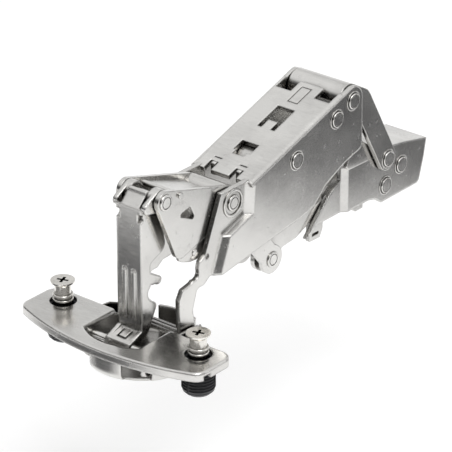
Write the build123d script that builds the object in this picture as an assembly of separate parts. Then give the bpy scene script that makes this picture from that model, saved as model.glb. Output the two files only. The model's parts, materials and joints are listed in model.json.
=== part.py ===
"""Concealed cup hinge with seven pivots, opened to ninety degrees.

Millimetres. The origin is the centre of the 35 mm cup, in the face of the door. X runs from the cup
towards the tail of the mounting arm, Z out of the cup, and every pivot lies along Y. The hinge is
the same on both sides of Y = 0.
"""
import os
from math import atan2, cos, degrees, pi, sin

from build123d import *

# The cup's radius, which its two pivots follow
CUP_R = 17.5

# Pivots, seen along Y as (x, z). The four of the rear loop are a parallelogram.
REAR_LINK_UPPER = Vector(84.4, 0, 46.9)
REAR_LINK_LOWER = Vector(105.2, 0, 19.9)
CROSS_PIVOT = Vector(29.8, 0, 32.4)
ARM_PIVOT = REAR_LINK_LOWER - (REAR_LINK_UPPER - CROSS_PIVOT)
NOSE_PIVOT = Vector(1.8, 0, 42.1)
CUP_REAR_PIVOT = Vector(CUP_R - 7.8, 0, -4.0)
CUP_FRONT_PIVOT = Vector(7.7 - CUP_R, 0, -1.2)

# Sheet and running clearances
SHEET = 1.5
THIN_SHEET = 1.2
SIDE_GAP = 0.3
PIN_GAP = 0.05
LEVER_GAP = 0.2
NOSE_GAP = 0.1

# Outer half widths of the nested channels, from the inside out
LEVER_HALF = 4.6
FRONT_HALF = LEVER_HALF + SHEET + LEVER_GAP
NOSE_HALF = FRONT_HALF + SHEET + NOSE_GAP
TAIL_HALF = NOSE_HALF
NECK_HALF = NOSE_HALF + SIDE_GAP + SHEET
JOGGLE = 2.0
ARM_HALF = NECK_HALF + JOGGLE
LINK_HALF = ARM_HALF - SHEET - SIDE_GAP

# Pins and rivets
PIN_R = 1.6
CUP_PIN_R = 1.25
RIVET_R = 1.9
RIVET_HEAD_R = 2.5
RIVET_HEAD_H = 0.7
PIN_HEAD_H = 0.5
HEAD_RISE = 0.3

# Cup
CUP_DEPTH = 9.4
CUP_WALL = 0.8
CUP_CORNER_R = 3.0
REAR_RIM_Z = -0.9
LEG_NOTCH_Z = -7.2

# Flange
FLANGE_Z = 2.7
FLANGE_SHEET = 1.2
FLANGE_FRONT_X = -21.9
FLANGE_BACK_X = 0.4
FLANGE_HALF_LENGTH = 34.6
FLANGE_ARC_R = 88.8
FLANGE_CORNER_R = 4.0
FLANGE_EDGE_R = 0.7
OPENING_HALF = NECK_HALF + 2 * SIDE_GAP
OPENING_R = CUP_R - CUP_WALL + SIDE_GAP
MOUTH_EDGE_R = 1.1
CHEEK_SHEET = 1.0
CHEEK_DEPTH = 7.6

# Dowels and their screws
DOWEL_X = -5.5
DOWEL_Y = FLANGE_HALF_LENGTH - 8.6
DOWEL_R = 5.0
DOWEL_BOTTOM_Z = -9.5
DOWEL_RIB = 0.35
DOWEL_RIBS = 7
DOWEL_COLLAR = 1.5
SCREW_HOLE_R = 4.1
SCREW_HEAD_R = 3.65
SCREW_HEAD_Z = 9.55
SCREW_HEAD_RIM = 0.5
SCREW_HEAD_CONE = 1.0
SCREW_NECK_R = 2.5
SCREW_COLLAR_R = 3.1
SCREW_COLLARS = 2
SCREW_COLLAR_PITCH = 1.5
SCREW_TRAVEL = 6.6

# Top plate of the outer arm, along its own slope
PLATE_FRONT = Vector(36.0, 0, 36.8)
PLATE_BACK = Vector(73.6, 0, 48.9)
PLATE_SLOPE = degrees(atan2(PLATE_BACK.Z - PLATE_FRONT.Z, PLATE_BACK.X - PLATE_FRONT.X))
PLATE_LENGTH = (PLATE_BACK - PLATE_FRONT).length
PLATE_TONGUE_LENGTH = PLATE_LENGTH + 6.0
PLATE_TONGUE_HALF = 4.4
PLATE_SLOT_Y = 0.5
PLATE_FRAME_X = 35.8

# Rivets that carry the closing spring, and those that tie the two arms
SPRING_RIVET_FRONT = Vector(57.1, 0, 36.9)
SPRING_RIVET_REAR = Vector(76.4, 0, 43.6)
TAIL_RIVET_UPPER = Vector(114.8, 0, 14.0)
TAIL_RIVET_LOWER = Vector(106.9, 0, 9.6)

# Mounting arm
TAIL_END = Vector(128.2, 0, 18.6)
TAIL_BOTTOM_Z = 4.3
TAIL_TOP_Z = 22.6
FRONT_BOTTOM_Z = 7.4
STEP_X = 86.0


def at(x, z):
    """A point of the side view."""
    return Vector(x, 0, z)


def side_plane(y):
    """The plane at y, with X to the right, Z up, and its normal towards -Y."""
    return Plane(origin=(0, y, 0), x_dir=(1, 0, 0), z_dir=(0, -1, 0))


def slab(face, inner, outer):
    """A flat side-view shape made solid from y = -outer to y = -inner."""
    return extrude(side_plane(-inner) * face, amount=outer - inner)


def both(solid):
    """A solid on the near side, with its mirror on the far side."""
    return Compound(children=[solid, mirror(solid, about=Plane.XZ)])


def disc(centre, radius):
    """A round shape in the side view."""
    return Pos(centre.X, centre.Z) * Circle(radius)


def strap(*discs):
    """The shape stretched tightly round several discs, given as (centre, radius)."""
    edges = []
    for centre, radius in discs:
        edges += disc(centre, radius).edges()
    return make_hull(edges)


def outline(*points):
    """A straight-sided shape in the side view."""
    return make_face(Polyline(*[(p.X, p.Z) for p in points], close=True))


def channel(face, outer, thickness):
    """Two side plates of a folded part, as one pair."""
    return both(slab(face, outer - thickness, outer))


def across(face, half):
    """A side-view shape made solid right across, from -half to +half."""
    return extrude(side_plane(half) * face, amount=2 * half)


def bar(centre, radius, half):
    """A round bar along Y, from -half to +half."""
    return across(disc(centre, radius), half)


def one(*solids):
    """Several touching or crossing solids as one."""
    whole = solids[0]
    for solid in solids[1:]:
        whole = whole + solid
    return whole


def along(start, end, distance, rise=0.0):
    """The point at a distance from start towards end, raised at right angles to that line."""
    way = (end - start).normalized()
    return start + way * distance + Vector(-way.Z, 0, way.X) * rise


def bent_strip(points, thickness, half):
    """A strip of sheet that follows the side-view points, from -half to +half."""
    path = Polyline(*[(p.X, p.Z) for p in points])
    face = trace(path, line_width=thickness)
    return across(face, half)


def rivet(centre, half, radius=RIVET_R, height=RIVET_HEAD_H):
    """A rivet through everything up to a half width, with a low ringed head on each side."""
    shank = bar(centre, radius, half)
    head = slab(disc(centre, RIVET_HEAD_R), half, half + height)
    head = fillet(head.edges().filter_by(GeomType.CIRCLE).sort_by(Axis.Y)[:1], HEAD_RISE)
    groove = disc(centre, radius + HEAD_RISE) - disc(centre, radius)
    ring = slab(groove, half + height - HEAD_RISE, half + height)
    head = head - ring
    return one(shank, head, mirror(head, about=Plane.XZ))


# The flange's plan, and how far in from its edge a wall stands
def flange_plan(inset=0.0):
    """The flange seen from above: a long front arc, rounded ends and a straight back."""
    arc_centre_x = FLANGE_FRONT_X + FLANGE_ARC_R
    length = 2 * (FLANGE_HALF_LENGTH - inset)
    depth = FLANGE_BACK_X - FLANGE_FRONT_X - 2 * inset
    block = Pos((FLANGE_FRONT_X + FLANGE_BACK_X) / 2, 0) * Rectangle(depth, length)
    plan = block & Pos(arc_centre_x, 0) * Circle(FLANGE_ARC_R - inset)
    return fillet(plan.vertices(), FLANGE_CORNER_R - inset)


def opening_plan():
    """The mouth of the cup: round in front, with straight sides that run out at the back."""
    sides = Rectangle(4 * CUP_R, 2 * OPENING_HALF)
    behind = Pos(2 * CUP_R, 0) * Rectangle(4 * CUP_R, 2 * OPENING_HALF)
    return sides & (Circle(OPENING_R) + behind)


def cup_flange():
    """Pressed flange with a turned-down rim, and a cheek along each side of the mouth."""
    body = extrude(flange_plan(), amount=FLANGE_Z)
    top_edges = body.edges().group_by(Axis.Z)[-1]
    body = fillet(top_edges, FLANGE_EDGE_R)
    underside = FLANGE_Z - FLANGE_SHEET
    body = body - extrude(flange_plan(FLANGE_SHEET), amount=underside)
    mouth = extrude(opening_plan(), amount=FLANGE_Z)
    body = body - mouth
    reach = CUP_R + FLANGE_EDGE_R
    rim = body.edges().group_by(Axis.Z)[-1].filter_by_position(Axis.Y, -reach, reach)
    rim = rim.filter_by_position(Axis.X, -CUP_R, FLANGE_BACK_X - FLANGE_EDGE_R / 2)
    body = fillet(rim, MOUTH_EDGE_R)
    body = body - extrude(Circle(CUP_R), amount=underside)
    for side in (-1, 1):
        body = body - Pos(DOWEL_X, side * DOWEL_Y, 0) * extrude(Circle(SCREW_HOLE_R), amount=FLANGE_Z)
        body = body - end_notch(side)
    return one(body, cheek(), mirror(cheek(), about=Plane.XZ))


def end_notch(side):
    """A small slot in the rim near each end of the flange."""
    width = 3.0
    height = 1.5
    centre_x = DOWEL_X - 6.2
    return Pos(centre_x, side * FLANGE_HALF_LENGTH, height / 2) * Box(width, 3 * FLANGE_SHEET, height)


def cheek():
    """The wall folded down from the side of the mouth, which holds both cup pins."""
    top = FLANGE_Z - MOUTH_EDGE_R
    wall = outline(
        at(-CUP_R, top),
        at(FLANGE_BACK_X, top),
        at(FLANGE_BACK_X + 1.5, REAR_RIM_Z + 1.0),
        at(CUP_R, REAR_RIM_Z),
        at(CUP_R, -CHEEK_DEPTH),
        at(-CUP_R, -CHEEK_DEPTH),
    )
    plate = slab(wall, OPENING_HALF, OPENING_HALF + CHEEK_SHEET) & cup_room(SIDE_GAP)
    holes = [bar(CUP_REAR_PIVOT, CUP_PIN_R, CUP_R), bar(CUP_FRONT_PIVOT, CUP_PIN_R, CUP_R)]
    return plate - holes


def cup_room(gap=0.0):
    """The space inside the cup, drawn in from its wall and floor by a gap."""
    floor = CUP_WALL - CUP_DEPTH + gap
    room = Pos(0, 0, floor) * extrude(Circle(CUP_R - CUP_WALL - gap), amount=FLANGE_Z - floor)
    return fillet(room.edges().group_by(Axis.Z)[0], CUP_CORNER_R - CUP_WALL)


def cup_shell():
    """Deep-drawn round cup, with a low rear rim, two notches for the legs and two front windows.

    It has its full radius below the face of the door, and is a little less where the flange holds it.
    """
    top = FLANGE_Z - FLANGE_SHEET
    outer = Pos(0, 0, -CUP_DEPTH) * extrude(Circle(CUP_R), amount=CUP_DEPTH)
    outer = fillet(outer.edges().group_by(Axis.Z)[0], CUP_CORNER_R)
    shell = outer + extrude(Circle(CUP_R - SIDE_GAP), amount=top) - cup_room()
    reach = 2 * CUP_R
    ramp = outline(
        at(FLANGE_BACK_X + 4.0, top),
        at(FLANGE_BACK_X + 11.0, REAR_RIM_Z),
        at(reach, REAR_RIM_Z),
        at(reach, top + 1),
        at(FLANGE_BACK_X + 4.0, top + 1),
    )
    shell = shell - across(ramp, reach)
    notch_inner = FRONT_HALF + SIDE_GAP
    notch = outline(
        at(CUP_REAR_PIVOT.X + 2, LEG_NOTCH_Z),
        at(reach, LEG_NOTCH_Z),
        at(reach, top + 1),
        at(CUP_REAR_PIVOT.X + 2, top + 1),
    )
    leg_way = slab(notch, notch_inner + SIDE_GAP, NECK_HALF + 2 * SIDE_GAP)
    shell = shell - leg_way - mirror(leg_way, about=Plane.XZ)
    for side in (-1, 1):
        shell = shell - front_window(side)
    return shell


def front_window(side):
    """An opening through the lower front corner of the cup wall."""
    first = 20.0
    last = 50.0
    reach = 2 * CUP_R
    wedge = make_face(Polyline(
        (0, 0),
        (-reach * cos(first * pi / 180), side * reach * sin(first * pi / 180)),
        (-reach * cos(last * pi / 180), side * reach * sin(last * pi / 180)),
        close=True,
    ))
    bottom = -CUP_DEPTH - 1
    height = CUP_DEPTH + 1 - 0.4
    ring = Circle(reach) - Circle(CUP_R - CUP_CORNER_R + 0.4)
    return Pos(0, 0, bottom) * extrude(wedge & ring, amount=height)


def cup_pin(pivot, inner=0.0):
    """A pin in the cheeks: right across, or as a stub on each side where a foot lies between."""
    outer = OPENING_HALF + CHEEK_SHEET
    if inner:
        return both(slab(disc(pivot, CUP_PIN_R), inner, outer))
    return bar(pivot, CUP_PIN_R, outer)


def cup_spring():
    """Hairpin of spring wire that lies along the rear pin, with both bars in view."""
    wire_r = 0.45
    spread = 1.5
    half = FRONT_HALF - SIDE_GAP
    height = CUP_REAR_PIVOT.Z + CUP_PIN_R + wire_r + SIDE_GAP
    front_x = CUP_REAR_PIVOT.X - spread
    parts = [bar(at(front_x, height), wire_r, half), bar(at(CUP_REAR_PIVOT.X, height), wire_r, half)]
    for side in (-1, 1):
        end = Plane(origin=(0, 0, height)) * (Pos(front_x + spread / 2, side * half) * Circle(spread / 2 + wire_r))
        hole = Plane(origin=(0, 0, height)) * (Pos(front_x + spread / 2, side * half) * Circle(spread / 2 - wire_r))
        loop = extrude(end - hole, amount=wire_r, both=True)
        keep = Pos(front_x + spread / 2, side * (half + CUP_R / 2), height) * Box(CUP_R, CUP_R, CUP_R)
        parts.append(loop & keep)
    return one(*parts)


def dowel(side):
    """Black expanding plastic sleeve with rings round it, split up one side."""
    top = FLANGE_Z - FLANGE_SHEET
    length = top - DOWEL_BOTTOM_Z
    body = Pos(0, 0, DOWEL_BOTTOM_Z) * extrude(Circle(DOWEL_R - DOWEL_RIB), amount=length)
    body = chamfer(body.edges().group_by(Axis.Z)[0], 1.0)
    body = body + Pos(0, 0, -DOWEL_COLLAR) * extrude(Circle(DOWEL_R), amount=DOWEL_COLLAR)
    first = DOWEL_BOTTOM_Z + 1.4
    pitch = (-DOWEL_COLLAR - first) / DOWEL_RIBS
    for number in range(DOWEL_RIBS):
        rib = Cone(DOWEL_R - DOWEL_RIB, DOWEL_R, pitch * 0.7, align=(Align.CENTER, Align.CENTER, Align.MIN))
        body = body + Pos(0, 0, first + number * pitch) * rib
    body = body - Pos(0, 0, DOWEL_BOTTOM_Z) * extrude(Circle(SCREW_COLLAR_R + SIDE_GAP), amount=length)
    slit = Pos(-DOWEL_R, 0, DOWEL_BOTTOM_Z) * Box(2 * DOWEL_R, 0.7, length * 1.2)
    return Pos(DOWEL_X, side * DOWEL_Y, 0) * (body - slit)


def dowel_screw(side):
    """Countersunk screw, standing proud with its cross recess up, and two collars on its neck."""
    z = SCREW_HEAD_Z
    head = Pos(0, 0, z - SCREW_HEAD_RIM) * extrude(Circle(SCREW_HEAD_R), amount=SCREW_HEAD_RIM)
    cone = Pos(0, 0, z - SCREW_HEAD_RIM - SCREW_HEAD_CONE) * Cone(
        SCREW_NECK_R, SCREW_HEAD_R, SCREW_HEAD_CONE, align=(Align.CENTER, Align.CENTER, Align.MIN)
    )
    tip_z = DOWEL_BOTTOM_Z + SCREW_TRAVEL - 1.2
    neck = Pos(0, 0, tip_z) * extrude(Circle(SCREW_NECK_R), amount=z - SCREW_HEAD_RIM - tip_z)
    neck = chamfer(neck.edges().group_by(Axis.Z)[0], 1.2)
    body = one(head, cone, neck)
    for number in range(SCREW_COLLARS):
        base = FLANGE_Z + 0.3 + number * SCREW_COLLAR_PITCH
        collar = Pos(0, 0, base) * extrude(Circle(SCREW_COLLAR_R), amount=SCREW_COLLAR_PITCH * 0.55)
        body = body + fillet(collar.edges(), 0.3)
    recess_depth = 1.5
    for turn in (0, 90):
        blade = Pos(0, 0, z - recess_depth / 2) * Rot(0, 0, turn + 20) * Box(3.6, 0.9, recess_depth)
        body = body - blade
    return Pos(DOWEL_X, side * DOWEL_Y, 0) * body


# The levers
LINK_ROLL_R = 4.9
LEVER_TAIL_HALF = 3.7
NOSE_EYE_R = 4.6
LEVER_FRONT_X = -5.3
LEVER_TOP_Z = 41.3
LEVER_BEND_Z = 1.6
LEVER_EAR_R = 3.4
FOOT_EYE_R = 1.65


def front_lever():
    """Channel from the nose down into the cup, with a hooked rear edge and a bent foot."""
    web_x = LEVER_FRONT_X + THIN_SHEET / 2
    foot_end = CUP_FRONT_PIVOT + Vector(-0.6, 0, FOOT_EYE_R - THIN_SHEET / 2)
    path = [at(web_x, LEVER_TOP_Z), at(web_x, LEVER_BEND_Z), foot_end, foot_end + Vector(-0.7, 0, -1.6)]
    web = bent_strip(path, THIN_SHEET, LEVER_HALF)
    web = web - foot_slot()
    sides = channel(lever_side(), LEVER_HALF, THIN_SHEET)
    ear = strap((NOSE_PIVOT, LEVER_EAR_R), (at(web_x + 1.2, LEVER_TOP_Z), 1.6))
    ears = both(slab(ear, LEVER_HALF, NOSE_HALF - SHEET - SIDE_GAP))
    flutes = [lever_flute(side) for side in (-1, 1)]
    body = one(web, sides, ears, lever_tongue(), *flutes)
    corner = disc(at(LEVER_FRONT_X, LEVER_TOP_Z - 3.0), 1.3)
    body = body - both(slab(corner, LEVER_HALF - THIN_SHEET, NOSE_HALF))
    body = body - bar(NOSE_PIVOT, PIN_R + PIN_GAP, NOSE_HALF)
    return body - bar(CUP_FRONT_PIVOT, CUP_PIN_R + PIN_GAP, LEVER_HALF)


def lever_side():
    """Side of the front lever: a wide top, a hook, a round bite and a heel above the foot."""
    strip = outline(
        at(LEVER_FRONT_X, LEVER_BEND_Z),
        at(LEVER_FRONT_X, LEVER_TOP_Z - 1.5),
        at(LEVER_FRONT_X + 4.2, LEVER_TOP_Z - 1.5),
        at(LEVER_FRONT_X + 3.8, LEVER_BEND_Z + 1.0),
    )
    head = strap((at(0.8, 38.0), 2.2), (at(2.3, 27.4), 2.9), (at(-2.5, 25.0), 2.6)) + disc(NOSE_PIVOT, LEVER_EAR_R)
    hook = strap((at(-2.6, 18.4), 2.0), (at(2.2, 16.3), 1.3))
    heel = strap((at(-3.6, LEVER_BEND_Z + 0.6), 1.4), (at(-0.4, 8.6), 1.5), (at(-3.4, 10.8), 1.5))
    eye = strap((CUP_FRONT_PIVOT, FOOT_EYE_R), (at(-4.4, LEVER_BEND_Z + 0.2), 0.9))
    bite = disc(at(-0.2, 13.4), 2.3)
    return strip + head + hook + heel + eye - bite


def lever_flute(side):
    """A long raised rib with round ends on the front of the web."""
    low = 5.0
    high = 21.5
    width = 1.7
    y = side * 1.7
    rib = Plane(origin=(LEVER_FRONT_X, y, (low + high) / 2), x_dir=(0, 0, 1), z_dir=(-1, 0, 0)) * SlotOverall(
        high - low, width
    )
    solid = extrude(rib, amount=0.5)
    return fillet(solid.edges().group_by(Axis.X)[0], 0.4)


def foot_slot():
    """U-shaped cut in the foot, round a springy tongue."""
    start = at(LEVER_FRONT_X - 0.6, LEVER_BEND_Z - 1.0)
    width = 0.5
    gap = 1.5
    reach = 3.4
    rail = outline(
        start + Vector(0, 0, -reach), start + Vector(0, 0, reach),
        start + Vector(-reach, 0, reach), start + Vector(-reach, 0, -reach),
    )
    end = outline(
        start + Vector(width - reach, 0, -reach), start + Vector(width - reach, 0, reach),
        start + Vector(-reach, 0, reach), start + Vector(-reach, 0, -reach),
    )
    rails = both(slab(rail, gap - width / 2, gap + width / 2))
    return rails.solids() + across(end, gap + width / 2).solids()


def lever_tongue():
    """Flat tongue above the web, between the ears, rolled over at its top."""
    half = LEVER_HALF - THIN_SHEET
    start = at(LEVER_FRONT_X + THIN_SHEET / 2, LEVER_TOP_Z - 1.0)
    end = start + Vector(4.0, 0, 4.0)
    strip = bent_strip([start, end], THIN_SHEET, half)
    return one(strip, bar(end, 0.9, half))


def nose_face():
    """Side of the cross lever: the shield of the nose, and the arm that runs back to its pivot."""
    tip = at(8.8, 24.8)
    shield = strap((NOSE_PIVOT, 3.4), (tip, 3.0), (at(20.0, 35.0), 3.0), (CROSS_PIVOT, NOSE_EYE_R))
    tail = strap((CROSS_PIVOT, LEVER_TAIL_HALF), (ARM_PIVOT, LEVER_TAIL_HALF))
    return shield + tail + disc(ARM_PIVOT, NOSE_EYE_R)


def cross_lever():
    """Folded lever that crosses the outer arm: closed nose on top, open below and in front."""
    sides = channel(nose_face(), NOSE_HALF, SHEET)
    top = at(8.2, 42.9)
    back = at(24.0, 37.6)
    plate = across(outline(
        top, back, along(back, top, 0.0, SHEET), along(top, back, 0.0, -SHEET)
    ), NOSE_HALF)
    roll = bar(along(top, back, 0.0, -SHEET / 2), 0.9, NOSE_HALF + 0.6)
    eye = disc(CROSS_PIVOT, NOSE_EYE_R)
    crown = (eye - disc(CROSS_PIVOT, NOSE_EYE_R - SHEET)) & outline(
        at(back.X, CROSS_PIVOT.Z + SHEET), at(back.X + 2 * NOSE_EYE_R, CROSS_PIVOT.Z + SHEET),
        at(back.X + 2 * NOSE_EYE_R, top.Z), at(back.X, top.Z),
    )
    body = one(sides, plate, roll, across(crown, NOSE_HALF))
    window = strap((at(9.0, 35.5), 0.7), (at(13.7, 33.3), 0.7), (at(12.3, 36.3), 0.7))
    body = body - both(slab(window, NOSE_HALF - 2 * SHEET, NOSE_HALF + 1))
    for pivot in (NOSE_PIVOT, CROSS_PIVOT, ARM_PIVOT):
        body = body - bar(pivot, PIN_R, NOSE_HALF + 1)
    return one(body)


def link_face():
    """Side of the rear link."""
    upper = strap((REAR_LINK_UPPER, LINK_ROLL_R), (REAR_LINK_UPPER + Vector(7.2, 0, -2.6), 3.6))
    shank = strap((REAR_LINK_UPPER + Vector(7.6, 0, -3.6), 3.9), (REAR_LINK_LOWER, 3.9))
    return upper + shank


def rear_link():
    """Folded link whose web rolls over the upper pivot and runs down the back."""
    sides = channel(link_face(), LINK_HALF, SHEET)
    band = link_face() - offset(link_face(), -SHEET)
    back = strap((REAR_LINK_UPPER + Vector(9.5, 0, 6.0), 5.0), (REAR_LINK_LOWER + Vector(1.5, 0, 16.0), 5.0))
    front = strap((REAR_LINK_UPPER + Vector(9.5, 0, 6.0), 5.0), (REAR_LINK_UPPER + Vector(-5.2, 0, 5.6), 5.2))
    web = across(band & (back + front), LINK_HALF)
    body = one(sides, web)
    for pivot in (REAR_LINK_UPPER, REAR_LINK_LOWER):
        body = body - bar(pivot, RIVET_R + PIN_GAP, ARM_HALF)
    return body


# The outer arm
NECK_BOTTOM = Vector(19.0, 0, 12.4)
LEG_HEEL = Vector(5.9, 0, 11.0)


def rear_wall_face(shift=0.0):
    """Side of the outer arm behind the step, where it stands wide."""
    lobe = strap((REAR_LINK_UPPER, 4.7), (REAR_LINK_UPPER + Vector(-4.6, 0, -10.0), 6.2),
                 (REAR_LINK_UPPER + Vector(-8.6, 0, -2.6), 4.6))
    wall = outline(
        at(35.8 + shift, 36.8 + shift * 0.32),
        PLATE_BACK + Vector(1.5, 0, 0.2),
        REAR_LINK_UPPER + Vector(-1.0, 0, 4.4),
        REAR_LINK_UPPER + Vector(4.6, 0, 0.8),
        REAR_LINK_UPPER + Vector(4.9, 0, -17.0),
        REAR_LINK_UPPER + Vector(-0.9, 0, -18.4),
        REAR_LINK_UPPER + Vector(-4.6, 0, -19.6),
        at(71.6, 23.6),
        at(66.0, 18.6),
        at(60.5, 17.2),
        at(41.9, 14.8),
        at(20.5 + shift, 12.2),
        at(24.6 + shift, 23.4),
        at(34.8 + shift, 26.8),
    )
    return lobe + fillet(wall.vertices().sort_by(Axis.X)[-1:], 2.0)


def pin_way(reach=0.0):
    """Where the cup's front pin lies beside the leg when the hinge is closed."""
    back = CUP_FRONT_PIVOT - CUP_REAR_PIVOT
    return CUP_REAR_PIVOT + Vector(back.Z + reach, 0, -back.X)


def front_wall_face():
    """Side of the outer arm in front of the step, down to the end of its leg in the cup.

    The heel passes below the cup's front pin, the bite above it takes that pin when the hinge is
    closed, and the breast above the bite clears the flange.
    """
    floor_x = CUP_REAR_PIVOT.X - CUP_REAR_PIVOT.Z - CUP_DEPTH + CUP_WALL + SIDE_GAP
    breast = pin_way() + Vector(2.2, 0, 3.2)
    neck = outline(
        at(38.5, 37.2), at(38.5, 16.0), NECK_BOTTOM + Vector(3.0, 0, 0.1), NECK_BOTTOM, at(16.5, 10.7),
        at(14.3, 10.7), at(13.3, 10.2), at(11.3, 10.0), pin_way(1.8) + Vector(0, 0, 1.0), breast,
        breast + Vector(2.4, 0, 1.4), at(24.5, 37.2),
    )
    heel = outline(
        at(floor_x, 9.8), at(floor_x + 1.6, 12.5), pin_way(-1.6) + Vector(0, 0, -2.3), pin_way(1.8),
        at(14.3, 10.7), at(13.3, 10.2), at(11.3, 4.1), at(11.3, 0.0), at(floor_x, 0.0),
    )
    toe = strap((CUP_REAR_PIVOT, 3.0), (at(floor_x + 3.1, 3.2), 3.1), (at(8.6, 2.6), 2.6))
    bite = disc(pin_way(), CUP_PIN_R + 2 * SIDE_GAP)
    return fillet((neck + heel).vertices().sort_by(Axis.X)[0:1], 1.2) + toe - bite


def outer_wall():
    """Near side wall of the outer arm with the joggle between its wide and its narrow part."""
    wide = slab(rear_wall_face(JOGGLE), ARM_HALF - SHEET, ARM_HALF)
    narrow = slab(front_wall_face(), NECK_HALF - SHEET, NECK_HALF)
    bevel = loft([
        side_plane(-NECK_HALF) * step_band(0.0, 0.0),
        side_plane(-ARM_HALF) * step_band(JOGGLE, 0.0),
    ])
    inside = loft([
        side_plane(SHEET - NECK_HALF) * step_band(SHEET * 0.6, 4.0),
        side_plane(SHEET - ARM_HALF) * step_band(JOGGLE + SHEET * 0.6, 4.0),
    ])
    return one(wide, narrow, bevel - inside)


def step_band(shift, extra):
    """The strip of side wall along the step, moved back by a shift and widened downward and up."""
    width = 3.2
    front = [at(35.6, 37.0), at(34.8, 26.8), at(24.6, 23.4), at(20.2, 12.3)]
    moved = [p + Vector(shift, 0, 0) for p in front]
    moved[0] = moved[0] + Vector(0, 0, extra)
    moved[-1] = moved[-1] - Vector(0, 0, extra)
    back = [p + Vector(width + extra, 0, 0) for p in reversed(front)]
    back[0] = back[0] - Vector(0, 0, extra)
    back[-1] = back[-1] + Vector(0, 0, extra)
    return outline(*moved, *back)


def plate_plane():
    """The upper face of the top plate: x runs up its slope, y across, z out of it."""
    way = plate_run()
    return Plane(origin=PLATE_FRONT, x_dir=way, z_dir=Vector(-way.Z, 0, way.X))


def through_plate(sketch):
    """A cut through the top plate, drawn on its upper face."""
    return extrude(plate_plane() * sketch, amount=2 * SHEET, both=True)


def plate_cuts():
    """The slots of the top plate, front to back, and the notches in its two ends."""
    front_slot = Pos(13.0, 0) * Rectangle(4.4, 6.4) + Pos(10.0, 0.2) * Rectangle(2.0, 4.1)
    rear_slot = Pos(27.8, 0) * Rectangle(10.4, 6.5) - Pos(24.0, 0) * Rectangle(4.6, 3.4)
    cuts = Pos(0, PLATE_SLOT_Y) * (front_slot + rear_slot)
    for side in (-1, 1):
        y = PLATE_SLOT_Y + side * 4.8
        cuts = cuts + Pos(0, y) * Rectangle(2 * 3.8, 2.9)
        cuts = cuts + Pos(5.5, y) * Rectangle(0.4, 2.9)
        window = PLATE_TONGUE_LENGTH - PLATE_LENGTH
        y = side * (PLATE_TONGUE_HALF + ARM_HALF - SHEET) / 2
        cuts = cuts + Pos(PLATE_LENGTH + 0.8 + window / 2, y) * Rectangle(window, ARM_HALF - SHEET - PLATE_TONGUE_HALF)
    return cuts


def front_tab(side):
    """A short tab bent down from each notch in the plate's front edge."""
    width = 1.6
    drop = 3.0
    path = [
        along(PLATE_FRONT, PLATE_BACK, 5.0, -SHEET / 2),
        along(PLATE_FRONT, PLATE_BACK, 3.2, -SHEET / 2),
        along(PLATE_FRONT, PLATE_BACK, 2.2, -SHEET / 2 - drop),
    ]
    strip = bent_strip(path, THIN_SHEET, width / 2)
    return Pos(0, PLATE_SLOT_Y + side * 4.8, 0) * strip


def top_plate():
    """The sloping top of the outer arm, with a tongue behind that runs up to the rear link's roll."""
    length = PLATE_TONGUE_LENGTH
    plate = extrude(plate_plane() * (Pos(length / 2, 0) * Rectangle(length, 2 * ARM_HALF)), amount=-SHEET)
    plate = plate - through_plate(plate_cuts())
    frame_length = PLATE_TONGUE_LENGTH - PLATE_FRAME_X - 2.0
    frame = Rectangle(frame_length, 3.9) - Rectangle(frame_length - 0.7, 3.2)
    groove = extrude(plate_plane() * (Pos(PLATE_FRAME_X + frame_length / 2, PLATE_SLOT_Y) * frame), amount=-0.3)
    tabs = [front_tab(side) for side in (-1, 1)]
    return one(plate - groove, *tabs)


def outer_arm():
    """Large folded arm: a top plate, two stepped sides, and a leg on each side into the cup."""
    wall = outer_wall()
    body = one(wall, mirror(wall, about=Plane.XZ), top_plate())
    near = body.edges().filter_by_position(Axis.Y, -ARM_HALF - PIN_GAP, PIN_GAP - ARM_HALF)
    far = body.edges().filter_by_position(Axis.Y, ARM_HALF - PIN_GAP, ARM_HALF + PIN_GAP)
    folds = [e for e in near + far if e.length > PLATE_LENGTH / 2 and abs((e % 0.5).dot(plate_run())) > 0.999]
    body = fillet(folds, SHEET * 0.8)
    for pivot, radius in (
        (CROSS_PIVOT, PIN_R + PIN_GAP), (CUP_REAR_PIVOT, CUP_PIN_R + PIN_GAP), (REAR_LINK_UPPER, RIVET_R),
        (SPRING_RIVET_FRONT, RIVET_R), (SPRING_RIVET_REAR, RIVET_R),
    ):
        body = body - bar(pivot, radius, 2 * ARM_HALF)
    eyelet = disc(at(18.1, 19.4), 0.8)
    return body - both(slab(eyelet, NECK_HALF - 0.5, NECK_HALF + 1))


def spring_guide():
    """Bent plate on the front spring rivet, seen through the slots of the top plate."""
    half = FRONT_HALF - SIDE_GAP
    base = along(SPRING_RIVET_FRONT, SPRING_RIVET_REAR, 0, 3.6)
    path = [
        along(base, base + plate_run(), -12.5, -1.0), along(base, base + plate_run(), -7.0, 0.4),
        along(base, base + plate_run(), 6.5, 0.4), along(base, base + plate_run(), 9.0, -2.5),
    ]
    strip = bent_strip(path, THIN_SHEET, half)
    ear = strap((SPRING_RIVET_FRONT, 3.4), (along(base, base + plate_run(), 3.0), THIN_SHEET / 2))
    ears = channel(ear, half, THIN_SHEET)
    return one(strip, ears) - bar(SPRING_RIVET_FRONT, RIVET_R + PIN_GAP, ARM_HALF)


def plate_run():
    """One step along the slope of the top plate."""
    return (PLATE_BACK - PLATE_FRONT).normalized()


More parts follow.
